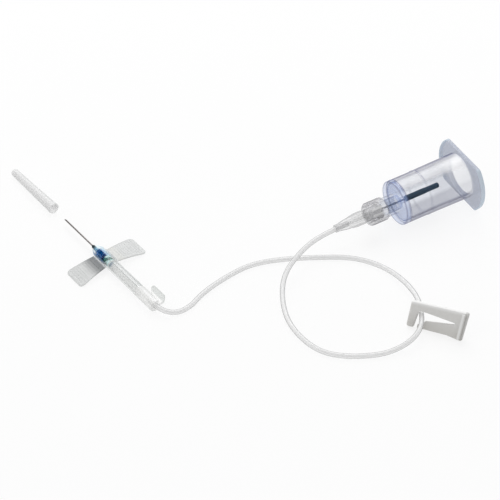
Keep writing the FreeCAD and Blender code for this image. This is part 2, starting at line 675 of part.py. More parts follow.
def luer_adapter():
    """Lock collar, male luer cone, threaded stem and sleeve boss in one moulding."""
    body = new_body("luer_adapter")
    outer_edge = "collar_radius - collar_edge"
    turned(body, "adapter_form", [
        ("cone_tip", "cone_bore"), ("cone_tip", "cone_tip_radius"), ("collar_back", "cone_base_radius"),
        ("collar_back", "collar_bore"), ("collar_front", "collar_bore"), ("collar_front", outer_edge),
        ("collar_front + collar_edge", "collar_radius"), ("-neck_length - collar_edge", "collar_radius"),
        ("-neck_length", outer_edge), ("-neck_length", "thread_radius"), ("stem_end", "thread_radius"),
        ("stem_end", "boss_radius"), ("boss_end", "boss_radius"), ("boss_end", "nipple_radius"),
        ("nipple_end", "nipple_radius"), ("nipple_end", "back_needle_hole"),
        ("back_needle_start", "back_needle_hole"), ("back_needle_start", "cone_bore")])
    rib = padded(body, "grip_rib", "XZ_Plane", [
        ("collar_front + rib_margin", "collar_radius - rib_height"),
        ("-neck_length - rib_margin", "collar_radius - rib_height"),
        ("-neck_length - rib_margin * 1.6", "collar_radius + rib_height"),
        ("collar_front + rib_margin * 1.6", "collar_radius + rib_height")], "rib_width")
    around_axis(body, "grip_ribs", rib, COLLAR_RIBS)
    seat_in_holder_line(body)
    return body


def luer_connector():
    """Female luer on the tubing's end, pushed on the male cone inside the collar."""
    body = new_body("luer_connector")
    mouth_bore = "cone_base_radius + cone_fit - luer_mouth_gap * cone_taper"
    cone_end = "cone_tip - cone_fit"
    socket_end = "luer_tip + tube_in_luer"
    turned(body, "connector_form", [
        ("luer_tip", "tube_socket"), ("luer_tip", "luer_rim_radius"),
        ("luer_tip + luer_rim_length", "luer_rim_radius"),
        ("luer_tip + luer_rim_length", "luer_neck_radius"),
        ("luer_waist", "luer_waist_radius"), ("luer_body_start", "luer_radius"),
        ("luer_mouth - lug_width * 1.6", "luer_radius"), ("luer_mouth - lug_width", "lug_radius"),
        ("luer_mouth", "lug_radius"), ("luer_mouth", mouth_bore),
        (cone_end, "cone_tip_radius + cone_fit"), (cone_end, "lumen_radius"),
        (socket_end, "lumen_radius"), (socket_end, "tube_socket")])
    fin = padded(body, "grip_fin", "XZ_Plane", [
        ("fin_start", "luer_waist_radius - fin_height"), ("fin_end", "luer_waist_radius - fin_height"),
        ("fin_end", "luer_radius"), ("fin_end - fin_height", "luer_radius + fin_height"),
        ("luer_body_start", "luer_radius + fin_height"), ("fin_start", "luer_waist_radius + fin_height")],
        "fin_width")
    around_axis(body, "grip_fins", fin, LUER_FINS)
    for side in ("", "-"):
        cut_through(body, "lug_flat_" + ("left" if side == "" else "right"), "XY_Plane", [
            ("luer_mouth - lug_width * 2", side + "luer_radius"), ("luer_mouth + 1", side + "luer_radius"),
            ("luer_mouth + 1", side + "lug_radius * 2"),
            ("luer_mouth - lug_width * 2", side + "lug_radius * 2")])
    seat_in_holder_line(body)
    return body


def holder_cannula():
    point = "back_needle_end"
    body = hollow_needle(
        "holder_cannula", "back_needle_start", point, "back_needle_radius", "back_needle_bore",
        [(point, "-back_needle_radius"), (point + " - back_needle_bevel", "back_needle_radius"),
         (point + " - back_needle_bevel", "back_needle_radius * 2"),
         (point + " + back_needle_radius", "back_needle_radius * 2"),
         (point + " + back_needle_radius", "-back_needle_radius")])
    seat_in_holder_line(body)
    return body


def rubber_sleeve():
    body = new_body("rubber_sleeve")
    seat_bore = "nipple_radius + needle_fit"
    seat_end = "nipple_end + needle_fit"
    form = turned(body, "sleeve_form", [
        ("boss_end", seat_bore), ("boss_end", "sleeve_radius"), ("sleeve_step", "sleeve_radius"),
        ("sleeve_step + sleeve_slope", "sleeve_tip_radius"), ("sleeve_end", "sleeve_tip_radius"),
        ("sleeve_end", "0"), ("sleeve_blind", "0"), ("sleeve_blind", "sleeve_bore"),
        (seat_end, "sleeve_bore"), (seat_end, seat_bore)])
    soften(body, "sleeve_tip", form, ring_at("sleeve_end", "sleeve_tip_radius"), "sleeve_round")
    seat_in_holder_line(body)
    return body


# Slide clamp. Its X axis runs along the plate, its Y axis up the plate.

def slide_clamp():
    body = new_body("slide_clamp")
    gap_end = "leg_width + gap_width"
    mouth = gap_end + " - foot_step"
    toe = "leg_width + toe_gap"
    plate = padded(body, "clamp_plate", "XY_Plane", [
        ("0", "0"), ("leg_width", "0"), ("leg_width + leg_lean", "slot_top - leg_lean * 1.6"),
        ("leg_width + leg_lean * 2", "slot_top"), (mouth, "slot_top"),
        ("slot_end", "slot_end_height + slot_narrow * 0.5"),
        ("slot_end", "slot_end_height - slot_narrow * 0.5"),
        (mouth, "slot_mouth_low"), (mouth + " - foot_step", "toe_height + foot_step"),
        (toe, "toe_height"), (toe, "foot_step"), ("clamp_length * 0.7", "foot_arch"),
        ("clamp_length - side_lean", "0"), ("clamp_length + side_lean", "clamp_height_right"),
        ("-side_lean", "clamp_height_left")], "clamp_thickness")
    upright = lambda edge: (
        isinstance(edge.Curve, Part.Line) and near(abs(edge.tangentAt(edge.FirstParameter).z), 1))
    outer = lambda edge: upright(edge) and (
        edge.CenterOfMass.x < 0.5 or edge.CenterOfMass.x > number("clamp_length - 1")
        or near(edge.CenterOfMass.x, number("leg_width")))
    rounded = soften(body, "plate_corners", plate, outer, "clamp_round")
    top = lambda edge: (
        isinstance(edge.Curve, Part.Line) and edge.Length > number("clamp_length * 0.8")
        and edge.CenterOfMass.y > number("slot_top"))
    soften(body, "upper_edge", rounded, top, "clamp_edge", "Chamfer")
    rib_start = "clamp_length - end_rib_width - clamp_round"
    padded(body, "end_rib", "XY_Plane", [
        (rib_start, "clamp_round"), (rib_start + " + end_rib_width", "clamp_round"),
        (rib_start + " + end_rib_width", "clamp_height_right - clamp_round * 1.6"),
        (rib_start, "clamp_height_right - clamp_round * 1.6")], "clamp_thickness + end_rib_height * 2")
    plate_rise = "(clamp_thickness * 0.5 - clamp_edge) * sin(clamp_lean)"
    rib_face = "(clamp_thickness * 0.5 + end_rib_height)"
    rib_rise = rib_face + " * sin(clamp_lean) - clamp_round * cos(clamp_lean)"
    rise = "max(%s; %s)" % (plate_rise, rib_rise)
    seat(body, "clamp_x", "clamp_y", rise, "clamp_heading", "0", "90 - clamp_lean")
    return body


# Tubing: straight runs joined by tangent arcs

def route_wire(points):
    """Wire of runs and arcs through the points, and the radius of each arc."""
    edges = []
    radii = []
    start = points[0]
    for before, corner, after in zip(points, points[1:], points[2:]):
        back, ahead = before - corner, after - corner
        reach = BEND_SHARE * min(back.Length, ahead.Length)
        half_turn = (math.pi - back.getAngle(ahead)) / 2
        radii.append(reach / math.tan(half_turn))
        back.normalize()
        ahead.normalize()
        arc_start, arc_end = corner + back * reach, corner + ahead * reach
        bisector = (back + ahead).normalize()
        middle = corner + bisector * radii[-1] * (1 / math.cos(half_turn) - 1)
        edges.append(Part.LineSegment(start, arc_start).toShape())
        edges.append(Part.Arc(arc_start, middle, arc_end).toShape())
        start = arc_end
    edges.append(Part.LineSegment(start, points[-1]).toShape())
    return Part.Wire(edges), radii


def tubing():
    points = [FreeCAD.Vector(*point) for point in TUBE_ROUTE]
    wire, radii = route_wire(points)
    first_run = points[1] - points[0]
    circle = Part.Wire([Part.makeCircle(size("tube_radius"), points[0], first_run)])
    solid = wire.makePipeShell([circle], True, False)
    expected = math.pi * size("tube_radius") ** 2 * wire.Length
    print("tubing: length %.1f mm, bend radii %s" % (wire.Length, " ".join("%.1f" % r for r in radii)))
    print("tubing: volume %.1f mm3, section times length %.1f mm3" % (solid.Volume, expected))
    if abs(solid.Volume - expected) > 0.02 * expected:
        raise RuntimeError("the tubing's volume is wrong")
    obj = doc.addObject("Part::Feature", "tubing")
    obj.Label = "tubing"
    obj.Shape = solid
    return obj


def check_and_write(pieces):
    """Stops on any failed object or bad shape, then writes one file a piece."""
    doc.recompute()
    failed = [obj.Name for obj in doc.Objects if "Invalid" in obj.State or "Error" in obj.State]
    if failed:
        raise RuntimeError("failed objects: " + ", ".join(failed))
    for piece in pieces:
        shape = piece.Shape
        if shape.isNull() or not shape.isValid() or len(shape.Solids) != 1:
            raise RuntimeError("%s is not one good solid" % piece.Label)
    os.makedirs("parts", exist_ok=True)
    for piece in pieces:
        piece.Shape.exportStep(os.path.join("parts", piece.Label + ".step"))
        print("%-18s %9.2f mm3" % (piece.Label, piece.Shape.Volume))


sheet = make_sheet()
check_and_write([
    needle_cannula(), hub_glue_bead(), needle_hub(), rear_barrel(),
    shield_barrel(), wings(), needle_cap(),
    tube_holder(), luer_adapter(), luer_connector(), holder_cannula(), rubber_sleeve(),
    slide_clamp(), tubing(),
])
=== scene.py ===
import math

import bmesh
import bpy
from mathutils import Matrix, Vector


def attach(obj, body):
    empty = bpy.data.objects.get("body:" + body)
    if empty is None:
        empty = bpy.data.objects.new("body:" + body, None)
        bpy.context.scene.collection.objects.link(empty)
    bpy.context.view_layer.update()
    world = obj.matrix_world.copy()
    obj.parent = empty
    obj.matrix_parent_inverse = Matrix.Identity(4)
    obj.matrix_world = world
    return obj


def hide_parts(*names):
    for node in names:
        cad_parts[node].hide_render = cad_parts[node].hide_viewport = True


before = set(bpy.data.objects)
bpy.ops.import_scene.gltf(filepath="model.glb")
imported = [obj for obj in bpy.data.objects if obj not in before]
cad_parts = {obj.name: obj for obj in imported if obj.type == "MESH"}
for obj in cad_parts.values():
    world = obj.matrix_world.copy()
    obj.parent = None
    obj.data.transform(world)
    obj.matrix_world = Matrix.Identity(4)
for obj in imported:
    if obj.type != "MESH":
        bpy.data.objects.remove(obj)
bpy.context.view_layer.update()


# Needle: a drawn steel tube with a point ground in one slope.
# It is glued into its hub and carries fine lengthwise drawing marks.

class Shade:
    """A value inside a finish or a shape. Sums with it add their own nodes."""

    def __init__(self, tree, socket):
        self.tree = tree
        self.socket = socket

    def maths(self, operation, first, second):
        return self.tree.node("ShaderNodeMath", {"operation": operation}, {0: first, 1: second})

    def __add__(self, other):
        return self.maths("ADD", self, other)

    def __radd__(self, other):
        return self.maths("ADD", other, self)

    def __sub__(self, other):
        return self.maths("SUBTRACT", self, other)

    def __rsub__(self, other):
        return self.maths("SUBTRACT", other, self)

    def __mul__(self, other):
        return self.maths("MULTIPLY", self, other)

    def __rmul__(self, other):
        return self.maths("MULTIPLY", other, self)

    def __truediv__(self, other):
        return self.maths("DIVIDE", self, other)

    def __pow__(self, other):
        return self.maths("POWER", self, other)


class Tree:
    """A tree of nodes, of a material, of the room or of Geometry Nodes."""

    def __init__(self, nodes):
        self.nodes = nodes.nodes
        self.links = nodes.links

    def node(self, kind, settings=None, inputs=None, output=0):
        made = self.nodes.new(kind)
        for name, value in (settings or {}).items():
            setattr(made, name, value)
        for place, value in (inputs or {}).items():
            if isinstance(value, Shade):
                self.links.new(value.socket, made.inputs[place])
            else:
                made.inputs[place].default_value = value
        return Shade(self, made.outputs[output])


class Finish(Tree):
    """The finish of one kind of plastic, rubber, glue or steel."""

    def __init__(self, name):
        self.material = bpy.data.materials.new(name)
        self.material.use_nodes = True
        super().__init__(self.material.node_tree)
        self.nodes.clear()

    def place(self):
        return self.node("ShaderNodeTexCoord", output="Object")

    def offset(self, start):
        return self.node("ShaderNodeVectorMath", {"operation": "SUBTRACT"}, {0: self.place(), 1: start})

    def along(self, start, direction):
        """How far a point of the surface lies from start in a direction, in millimetres."""
        scaled = tuple(1000.0 * part for part in direction)
        return self.node("ShaderNodeVectorMath", {"operation": "DOT_PRODUCT"},
                         {0: self.offset(start), 1: scaled}, "Value")

    def away(self, start, direction):
        """How far a point of the surface lies from the line through start, in millimetres."""
        scaled = tuple(1000.0 * part for part in direction)
        across = self.node("ShaderNodeVectorMath", {"operation": "CROSS_PRODUCT"},
                           {0: self.offset(start), 1: scaled})
        return self.node("ShaderNodeVectorMath", {"operation": "LENGTH"}, {0: across}, "Value")

    def cloud(self, grain, detail=2.0, turn=(0, 0, 0), stretch=(1, 1, 1)):
        """Soft noise whose blots are about grain millimetres across."""
        spread = tuple(1000.0 / grain * part for part in stretch)
        where = self.node("ShaderNodeMapping", {"vector_type": "TEXTURE"},
                          {"Vector": self.place(), "Rotation": turn})
        where = self.node("ShaderNodeVectorMath", {"operation": "MULTIPLY"}, {0: where, 1: spread})
        return self.node("ShaderNodeTexNoise", None,
                         {"Vector": where, "Scale": 1.0, "Detail": detail}, "Fac")

    def rise(self, value, low, high):
        """0 under low, 1 over high, with a smooth step between them."""
        return self.node("ShaderNodeMapRange", {"interpolation_type": "SMOOTHSTEP"},
                         {0: value, 1: low, 2: high, 3: 0.0, 4: 1.0})

    def fall(self, value, low, high):
        """1 under low, 0 over high, with a smooth step between them."""
        return 1.0 - self.rise(value, low, high)

    def band(self, value, middle, half_width):
        """1 at the middle value, fading to 0 at half_width to both sides of it."""
        off = self.node("ShaderNodeMath", {"operation": "ABSOLUTE"}, {0: value - middle})
        return self.fall(off, half_width * 0.4, half_width)

    def rim(self, low, high):
        """0 where the surface faces the eye, 1 where it turns away, with a smooth step."""
        facing = self.node("ShaderNodeLayerWeight", None, {"Blend": 0.5}, "Facing")
        return self.rise(facing, low, high)

    def painted(self, base, *coats):
        """A base colour under further coats, each the share it covers and its colour."""
        for share, coat in coats:
            base = self.node("ShaderNodeMix", {"data_type": "RGBA"}, {0: share, 6: base, 7: coat}, 2)
        return base

    def bumped(self, height, depth):
        """Surface normal raised by height, from 0 to 1, times depth in millimetres."""
        return self.node("ShaderNodeBump", None,
                         {"Height": height, "Strength": 1.0, "Distance": depth / 1000.0})

    def solid(self, **sockets):
        inputs = {name.replace("_", " "): value for name, value in sockets.items()}
        return self.node("ShaderNodeBsdfPrincipled", None, inputs)

    def clear(self, solid, density, tint):
        """Lets part of the light straight through the solid finish, and more of it into shade."""
        taken_off_shade = 0.8
        shade = self.node("ShaderNodeLightPath", output="Is Shadow Ray")
        through = self.node("ShaderNodeBsdfTransparent", None, {"Color": (*tint, 1.0)})
        share = density * (1.0 - shade * taken_off_shade)
        return self.node("ShaderNodeMixShader", None, {0: share, 1: through, 2: solid})

    def done(self, shader):
        out = self.nodes.new("ShaderNodeOutputMaterial")
        self.links.new(shader.socket, out.inputs["Surface"])
        return self.material


def colour(red, green, blue):
    """A colour seen as these screen values, from 0 to 255, as the shaders take it."""
    def linear(value):
        share = value / 255.0
        return share / 12.92 if share <= 0.04045 else ((share + 0.055) / 1.055) ** 2.4
    return (linear(red), linear(green), linear(blue), 1.0)


SAME_POINT = 2e-6
FLAT_WITHIN = math.radians(0.5)
SHARP_EDGE = math.radians(33)
SOFTENED_EDGE = math.radians(40)


def from_solid(node, name, material, body, bevel=0.0):
    """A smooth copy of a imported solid, with softened edges, that stands in its place."""
    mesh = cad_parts[node].data.copy()
    mesh.name = name
    mesh.materials.clear()
    work = bmesh.new()
    work.from_mesh(mesh)
    bmesh.ops.remove_doubles(work, verts=work.verts, dist=SAME_POINT)
    bmesh.ops.dissolve_limit(work, verts=work.verts, edges=work.edges, angle_limit=FLAT_WITHIN)
    work.to_mesh(mesh)
    work.free()
    if "custom_normal" in mesh.attributes:
        mesh.attributes.remove(mesh.attributes["custom_normal"])
    mesh.shade_smooth()
    mesh.set_sharp_from_angle(angle=SHARP_EDGE)
    mesh.materials.append(material)
    piece = bpy.data.objects.new(name, mesh)
    bpy.context.scene.collection.objects.link(piece)
    if bevel:
        softened = piece.modifiers.new("Softened edges", "BEVEL")
        softened.width = bevel / 1000.0
        softened.segments = 2
        softened.limit_method = "ANGLE"
        softened.angle_limit = SOFTENED_EDGE
        softened.harden_normals = True
    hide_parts(node)
    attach(piece, body)
    return piece


NEEDLE_HEADING = math.radians(-81.3)

steel = Finish("needle_steel")
draw_marks = steel.cloud(0.06, turn=(0, 0, NEEDLE_HEADING), stretch=(0.02, 1, 1))
steel_material = steel.done(steel.solid(
    Base_Color=steel.painted(colour(92, 88, 88), (draw_marks, colour(126, 121, 119))),
    Metallic=1.0, Roughness=draw_marks * 0.15 + 0.2, Normal=steel.bumped(draw_marks, 0.004)))
from_solid("needle_cannula", "needle", steel_material, "set")


# Bead of glue: a dark drop of cured adhesive round the needle at the hub's nose.
# It creeps a little way up the steel.

glue = Finish("dark_glue")
glue_cloud = glue.cloud(0.5)
glue_material = glue.done(glue.solid(
    Base_Color=glue.painted(colour(4, 20, 24), (glue_cloud, colour(16, 40, 46))),
    Roughness=glue_cloud * 0.15 + 0.3, Specular_IOR_Level=0.2,
    Normal=glue.bumped(glue_cloud, 0.02)))
from_solid("hub_glue_bead", "glue_bead", glue_material, "set", 0.05)


# Hub: a moulding of royal blue plastic that holds the needle.
# It sits in the shield's nose, darkest along its core and paler below it, with a painted highlight down
# its lit side.

NEEDLE_ROOT = Vector((-0.06721, 0.00038, 0.00248))
NEEDLE_LINE = Matrix.Translation(NEEDLE_ROOT) @ Matrix.Rotation(NEEDLE_HEADING, 4, "Z")
REARWARD = tuple(NEEDLE_LINE.to_3x3() @ Vector((1, 0, 0)))
ACROSS_NEEDLE = (0.833, 0.128, 0.539)

blue = Finish("hub_blue")
hub_place = blue.along(NEEDLE_ROOT, REARWARD)
hub_across = blue.along(NEEDLE_ROOT, ACROSS_NEEDLE)
hub_core = blue.rise(hub_across, -0.7, -0.1)
hub_rear = blue.rise(hub_place, 7.2, 8.2)
# Painted highlight: a pale strip down the hub's lit side.
hub_painted_highlight = blue.rise(hub_across, 1.1, 1.5)
hub_nose = blue.fall(hub_place, 2.8, 3.6)
hub_tip = blue.fall(hub_place, 1.1, 1.8)
hub_colour = blue.painted(
    colour(92, 136, 198), (hub_core, colour(0, 74, 136)), (hub_rear, colour(44, 68, 112)),
    (hub_painted_highlight, colour(186, 212, 248)), (hub_nose, colour(106, 156, 186)),
    (hub_tip, colour(10, 34, 38)))
blue_material = blue.done(blue.solid(
    Base_Color=hub_colour, Roughness=blue.cloud(0.8) * 0.1 + 0.16, IOR=1.5,
    Specular_IOR_Level=0.12, Normal=blue.bumped(blue.cloud(0.3), 0.002)))
from_solid("needle_hub", "hub", blue_material, "set", 0.08)


# Rear barrel: stem, grip and thumb tab in one moulding of milky clear plastic.
# The stem is pushed on the hub's spigot, and the shield slides along it.
# Where it covers the spigot it is coloured by the hub, with a green rim, and it carries painted
# highlights.

grip = Finish("grip_plastic")
grip_place = grip.along(NEEDLE_ROOT, REARWARD)
grip_across = grip.along(NEEDLE_ROOT, ACROSS_NEEDLE)
grip_cloud = grip.cloud(1.6)
grip_rim = grip.rim(0.35, 1.0)
# Painted highlight: a white stripe along the grip's lit side.
grip_painted_highlight = grip.band(grip_across, 1.35, 0.6) * grip.rise(grip_place, 13.0, 15.0)
tab_share = grip.rise(grip_across, 2.9, 3.3)
# Painted glint: pale cyan just behind the green rim, also made denser there.
painted_glint_start = grip.fall(grip_place, 11.9, 12.9)
slanted_place = grip_place - grip_across * 0.6
green_start = grip.fall(slanted_place, 10.9, 11.3)
over_spigot = grip.fall(slanted_place, 9.2, 9.6)
# Painted highlight: pale cyan on the lit side where the stem covers the spigot.
spigot_painted_highlight = grip.rise(grip_across, -0.2, 0.5)
spigot_colour = grip.painted(colour(40, 78, 116), (spigot_painted_highlight, colour(216, 250, 246)))
blue_mark = grip.band(grip_place, 13.6, 0.8) * grip.band(grip_across, 0.0, 1.6)
grip_colour = grip.painted(
    colour(246, 246, 245), (grip_rim, colour(218, 220, 219)), (grip_painted_highlight, colour(250, 250, 250)),
    (tab_share, colour(206, 209, 207)), (painted_glint_start, colour(220, 255, 255)),
    (green_start, colour(6, 120, 104)), (over_spigot, spigot_colour),
    (blue_mark * 0.8, colour(74, 112, 150)))
grip_solid = grip.solid(
    Base_Color=grip_colour, Roughness=grip_cloud * 0.1 + 0.3, IOR=1.45,
    Normal=grip.bumped(grip_cloud, 0.01))
grip_density = grip_rim * 0.1 + 0.62 + painted_glint_start * 0.28
grip_material = grip.done(grip.clear(grip_solid, grip_density, (0.985, 0.987, 0.985)))
from_solid("rear_barrel", "grip", grip_material, "set", 0.12)


# Shield: a thin clear tube that slides forward over the needle after use.
# Its nose is a blunt cone, and near the hub its wall is painted with the blue of the hub behind it,
# paler on its lit side as painted light.

shield = Finish("shield_plastic")
shield_place = shield.along(NEEDLE_ROOT, REARWARD)
shield_across = shield.along(NEEDLE_ROOT, ACROSS_NEEDLE)
shield_cloud = shield.cloud(2.2)
near_hub = shield.fall(shield_place, 9.0, 11.5)
past_hub = 1.0 - near_hub
# Painted light: the side of the blue wall near the hub that faces the light is paler.
shield_painted_light = shield.rise(shield_across, -0.6, 1.2)
shield_rim = shield.rim(0.55, 0.98) * past_hub + shield.rim(0.4, 0.85) * near_hub
guide_lines = shield.band(shield_across, 0.75, 0.22) + shield.band(shield_across, 2.0, 0.22)
guide_lines = guide_lines * past_hub
under_line = shield.band(shield_across, -1.75, 0.55) * shield.rise(shield_place, 2.0, 3.5)
outer_line = shield.fall(shield_across, -2.35, -2.15)
nose_tip = shield.fall(shield_place, 1.2, 2.2)
nose_wall = shield.band(shield_place, 2.7, 1.7)
wall_colour = shield.painted(
    colour(246, 247, 246), (shield_rim, colour(206, 209, 208)), (guide_lines, colour(184, 187, 187)))
blue_colour = shield.painted(
    colour(112, 164, 196), (shield_painted_light, colour(204, 240, 254)), (under_line, colour(84, 126, 172)),
    (outer_line, colour(226, 230, 242)))
shield_solid = shield.solid(
    Base_Color=shield.painted(wall_colour, (near_hub, blue_colour)),
    Roughness=shield_cloud * 0.06 + 0.12, IOR=1.4, Specular_IOR_Level=0.4,
    Normal=shield.bumped(shield_cloud, 0.004))
shield_density = shield_rim * (0.4 + near_hub * 0.15) + past_hub * 0.08 + guide_lines * 0.35
shield_density = shield_density + nose_wall * 0.2 + under_line * near_hub * 0.5
shield_density = shield_density * (1.0 - nose_tip * 0.8)
shield_material = shield.done(shield.clear(shield_solid, shield_density, (0.99, 0.992, 0.992)))
from_solid("shield_barrel", "shield", shield_material, "shield", 0.06)


# Wings: one soft vinyl moulding, two drooping leaves with a raised rim and fine grip ridges.
# Their clear saddle is glued round the shield, and a painted shadow darkens the root of one leaf.

SHIELD_RADIUS = 2.45
AXIS_HEIGHT = 2.48
WING_SPAN = 16.1
WING_START = 2.5
WING_FRONT = (4.6, 3.3)
WING_CHORD = (7.6, 11.2)
WING_CORNER = 2.0
WING_THICKNESS = 0.75
LEAF_THICKNESS = 0.5
EDGE_ROUNDING = 0.4
RIM_WIDTH = 0.9
RIM_SLOPE = 0.35
ROOT_END = 5.4
ROOT_LENGTH = 2.6
ROOT_SWELL = 0.35
WING_CROWN = 0.35
TABLE_GAP = 0.03
WING_DROOP = WING_CROWN + AXIS_HEIGHT - WING_THICKNESS - TABLE_GAP
WING_ARCH = (WING_SPAN ** 2 + WING_DROOP ** 2) / (2 * WING_DROOP)
CLOSE_TO_EDGE = [0.0, 0.06, 0.16, 0.32, 0.55, 0.8, 1.05, 1.35]
STEPS_OUT = 26
STEPS_ALONG = 16
SADDLE_WALL = 0.4
SADDLE_GAP = 0.02
SADDLE_DROP = 1.2
SADDLE_STEPS = 40
SEAM = 0.004
WING_EDGE = math.radians(35)


def wing_edges(out):
    """Front and back edge of a leaf, at a distance out from the needle's axis."""
    share = out / WING_SPAN
    front = WING_FRONT[0] + (WING_FRONT[1] - WING_FRONT[0]) * share
    back = front + WING_CHORD[0] + (WING_CHORD[1] - WING_CHORD[0]) * share
    into_corner = max(0.0, out - (WING_SPAN - WING_CORNER))
    cut = WING_CORNER - math.sqrt(WING_CORNER ** 2 - into_corner ** 2)
    return front + cut, back - cut


def near_both_ends(length, steps):
    """Places from 0 to length, close together near both ends."""
    last = CLOSE_TO_EDGE[-1]
    inner = [last + (length - 2 * last) * step / steps for step in range(1, steps)]
    return CLOSE_TO_EDGE + inner + [length - place for place in reversed(CLOSE_TO_EDGE)]


def leaf_middle(out):
    """Height of a leaf's middle over the needle's axis."""
    return WING_CROWN + math.sqrt(WING_ARCH ** 2 - out ** 2) - WING_ARCH - WING_THICKNESS / 2


def leaf_thickness(out, from_edge):
    """Thickness of a leaf: a round edge, a full rim, a thin field and a thick root."""
    rounded = min(1.0, from_edge / EDGE_ROUNDING)
    rim = WING_THICKNESS * math.sqrt(1.0 - (1.0 - rounded) ** 2)
    inside = min(1.0, max(0.0, (from_edge - RIM_WIDTH) / RIM_SLOPE))
    field = inside * inside * (3 - 2 * inside)
    root = min(1.0, max(0.0, (ROOT_END - out) / ROOT_LENGTH))
    return rim - (WING_THICKNESS - LEAF_THICKNESS) * field * (1 - root) + ROOT_SWELL * root * field


def add_leaf(work, side):
    """One leaf of the wings as a closed sheet, on the side 1 or -1."""
    reach = near_both_ends(WING_SPAN - WING_START, STEPS_OUT)[len(CLOSE_TO_EDGE) - 1:]
    outs = [WING_START] + [WING_START + place for place in reach]
    roots = []
    for face in (1, -1):
        rows = []
        for out in outs:
            front, back = wing_edges(out)
            row = []
            for place in near_both_ends(back - front, STEPS_ALONG):
                from_edge = min(place, back - front - place, WING_SPAN - out)
                height = leaf_middle(out) + face * leaf_thickness(out, from_edge) / 2
                row.append(work.verts.new((front + place, side * out, height)))
            rows.append(row)
        for row, following in zip(rows, rows[1:]):
            for left, right, ahead_right, ahead_left in zip(row, row[1:], following[1:], following):
                work.faces.new((left, right, ahead_right, ahead_left))
        roots.append(rows[0])
    for column in range(len(roots[0]) - 1):
        work.faces.new((roots[0][column], roots[0][column + 1],
                        roots[1][column + 1], roots[1][column]))


def add_saddle(work):
    """Open ring round the shield that carries both leaves."""
    outer = SHIELD_RADIUS + SADDLE_WALL
    inner = SHIELD_RADIUS + SADDLE_GAP
    start = -math.asin(SADDLE_DROP / outer)
    front = WING_FRONT[0]
    back = WING_FRONT[0] + WING_CHORD[0]
    corners = ((front, inner), (front, outer), (back, outer), (back, inner))
    rings = []
    for step in range(SADDLE_STEPS + 1):
        angle = start + (math.pi - 2 * start) * step / SADDLE_STEPS
        rings.append([work.verts.new((place, radius * math.cos(angle), radius * math.sin(angle)))
                      for place, radius in corners])
    for ring, following in zip(rings, rings[1:]):
        for corner in range(4):
            beside = (corner + 1) % 4
            work.faces.new((ring[corner], ring[beside], following[beside], following[corner]))
    work.faces.new(rings[0])
    work.faces.new(rings[-1])


def piece_of(work, name, material, place):
    """Closes a drawn shape, turns its faces outwards and sets it in its place."""
    bmesh.ops.remove_doubles(work, verts=work.verts, dist=SEAM)
    bmesh.ops.recalc_face_normals(work, faces=work.faces)
    mesh = bpy.data.meshes.new(name)
    work.to_mesh(mesh)
    work.free()
    mesh.transform(place @ Matrix.Scale(0.001, 4))
    mesh.shade_smooth()
    mesh.set_sharp_from_angle(angle=WING_EDGE)
    mesh.materials.append(material)
    piece = bpy.data.objects.new(name, mesh)
    bpy.context.scene.collection.objects.link(piece)
    return piece


soft = Finish("wing_vinyl")
soft_cloud = soft.cloud(0.7, detail=4.0)
soft_rim = soft.rim(0.4, 1.0)
wing_side = soft.along(NEEDLE_ROOT, tuple(NEEDLE_LINE.to_3x3() @ Vector((0, 1, 0))))
# Painted shadow: the shadow of the shield and saddle on the root of one leaf.
root_painted_shadow = soft.rise(wing_side, -10.5, -4.2) * soft.fall(wing_side, -3.4, -2.9)
creamy_root = soft.fall(wing_side, 5.0, 7.5) * soft.rise(wing_side, 2.6, 3.2)
saddle_share = soft.rise(wing_side, -3.3, -2.8) * soft.fall(wing_side, 2.8, 3.3)
leaf_colour = soft.painted(
    colour(212, 214, 214), (soft_cloud, colour(228, 229, 228)),
    (creamy_root * 0.4, colour(228, 227, 219)), (root_painted_shadow * 0.95, colour(78, 84, 88)),
    (saddle_share, colour(222, 238, 248)), (soft_rim * 0.4, colour(192, 195, 196)))
soft_solid = soft.solid(
    Base_Color=leaf_colour, Roughness=soft_cloud * 0.2 + 0.35, IOR=1.4,
    Normal=soft.bumped(soft_cloud, 0.04))
leaf_density = (soft_rim * 0.2 + 0.6) * (1.0 - saddle_share)
saddle_density = soft_rim * saddle_share * 0.15
soft_material = soft.done(soft.clear(soft_solid, leaf_density + saddle_density, (0.97, 0.97, 0.97)))

work = bmesh.new()
add_leaf(work, 1)
add_leaf(work, -1)
add_saddle(work)
wings = piece_of(work, "wings_soft", soft_material, NEEDLE_LINE)
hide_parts("wings")
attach(wings, "shield")

RIDGE_EDGE = math.radians(40)
RIDGE_SIDES = 10
RIDGE_SINK = 0.03


def grown(name, sizes, build, material, place, body):
    """Plain piece of what a tree of Geometry Nodes makes from its named sizes."""
    group = bpy.data.node_groups.new(name, "GeometryNodeTree")
    group.interface.new_socket("Geometry", in_out="OUTPUT", socket_type="NodeSocketGeometry")
    identifiers = {}
    for size, value in sizes.items():
        kind = "NodeSocketInt" if isinstance(value, int) else "NodeSocketFloat"
        socket = group.interface.new_socket(size, in_out="INPUT", socket_type=kind)
        identifiers[size] = socket.identifier
    tree = Tree(group)
    given = group.nodes.new("NodeGroupInput")
    shape = build(tree, {size: Shade(tree, given.outputs[size]) for size in sizes})
    plain = tree.node("GeometryNodeRealizeInstances", None, {0: shape})
    made = tree.node("GeometryNodeSetMaterial", None, {"Geometry": plain, "Material": material})
    group.links.new(made.socket, group.nodes.new("NodeGroupOutput").inputs[0])
    carrier = bpy.data.objects.new(name, bpy.data.meshes.new(name))
    bpy.context.scene.collection.objects.link(carrier)
    modifier = carrier.modifiers.new(name, "NODES")
    modifier.node_group = group
    for size, value in sizes.items():
        modifier[identifiers[size]] = value
    evaluated = carrier.evaluated_get(bpy.context.evaluated_depsgraph_get())
    mesh = bpy.data.meshes.new_from_object(evaluated)
    carrier.modifiers.clear()
    mesh.transform(place @ Matrix.Scale(0.001, 4))
    mesh.shade_smooth()
    mesh.set_sharp_from_angle(angle=RIDGE_EDGE)
    carrier.data = mesh
    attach(carrier, body)
    return carrier


